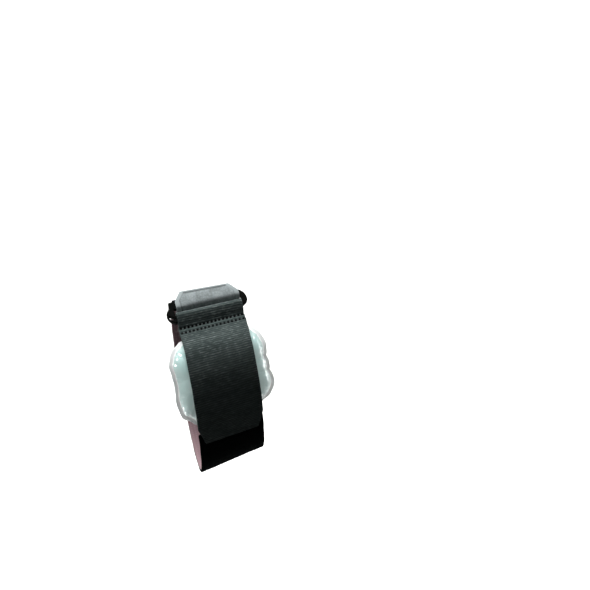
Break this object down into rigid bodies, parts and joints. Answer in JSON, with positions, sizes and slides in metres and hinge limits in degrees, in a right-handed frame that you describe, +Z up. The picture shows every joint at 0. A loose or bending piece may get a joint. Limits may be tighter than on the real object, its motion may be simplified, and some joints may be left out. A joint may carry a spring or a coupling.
{
  "type": "pneumatic elbow support",
  "caption": "Forearm band with a woven front strap over an inflated cell, a moulded loop, and a tab that is folded back through the loop to close it.",
  "frame": {"origin": "on the forearm's axis, at the middle of the band's width", "axes": "+X along the forearm to the hand, +Y from the front with the woven strap to the back, +Z up to the closure"},
  "size_m": [0.0752, 0.1123, 0.1428],
  "materials": {
    "webbing": "dark grey ribbed polyester webbing, matt",
    "pile": "black brushed loop pile, matt",
    "lining": "mauve knitted lining, matt",
    "tab_cloth": "grey brushed tab cloth, matt",
    "moulding": "black moulded nylon, slight gloss",
    "film": "pale green-grey vinyl film, glossy, half see-through"
  },
  "bodies": {
    "root": {"woven_strap": "webbing", "arm_band": "pile", "band_lining": "lining", "closure_tab": "tab_cloth", "ring": "moulding", "aircell_outer_film": "film", "aircell_inner_film": "film"}
  },
  "joints": []
}
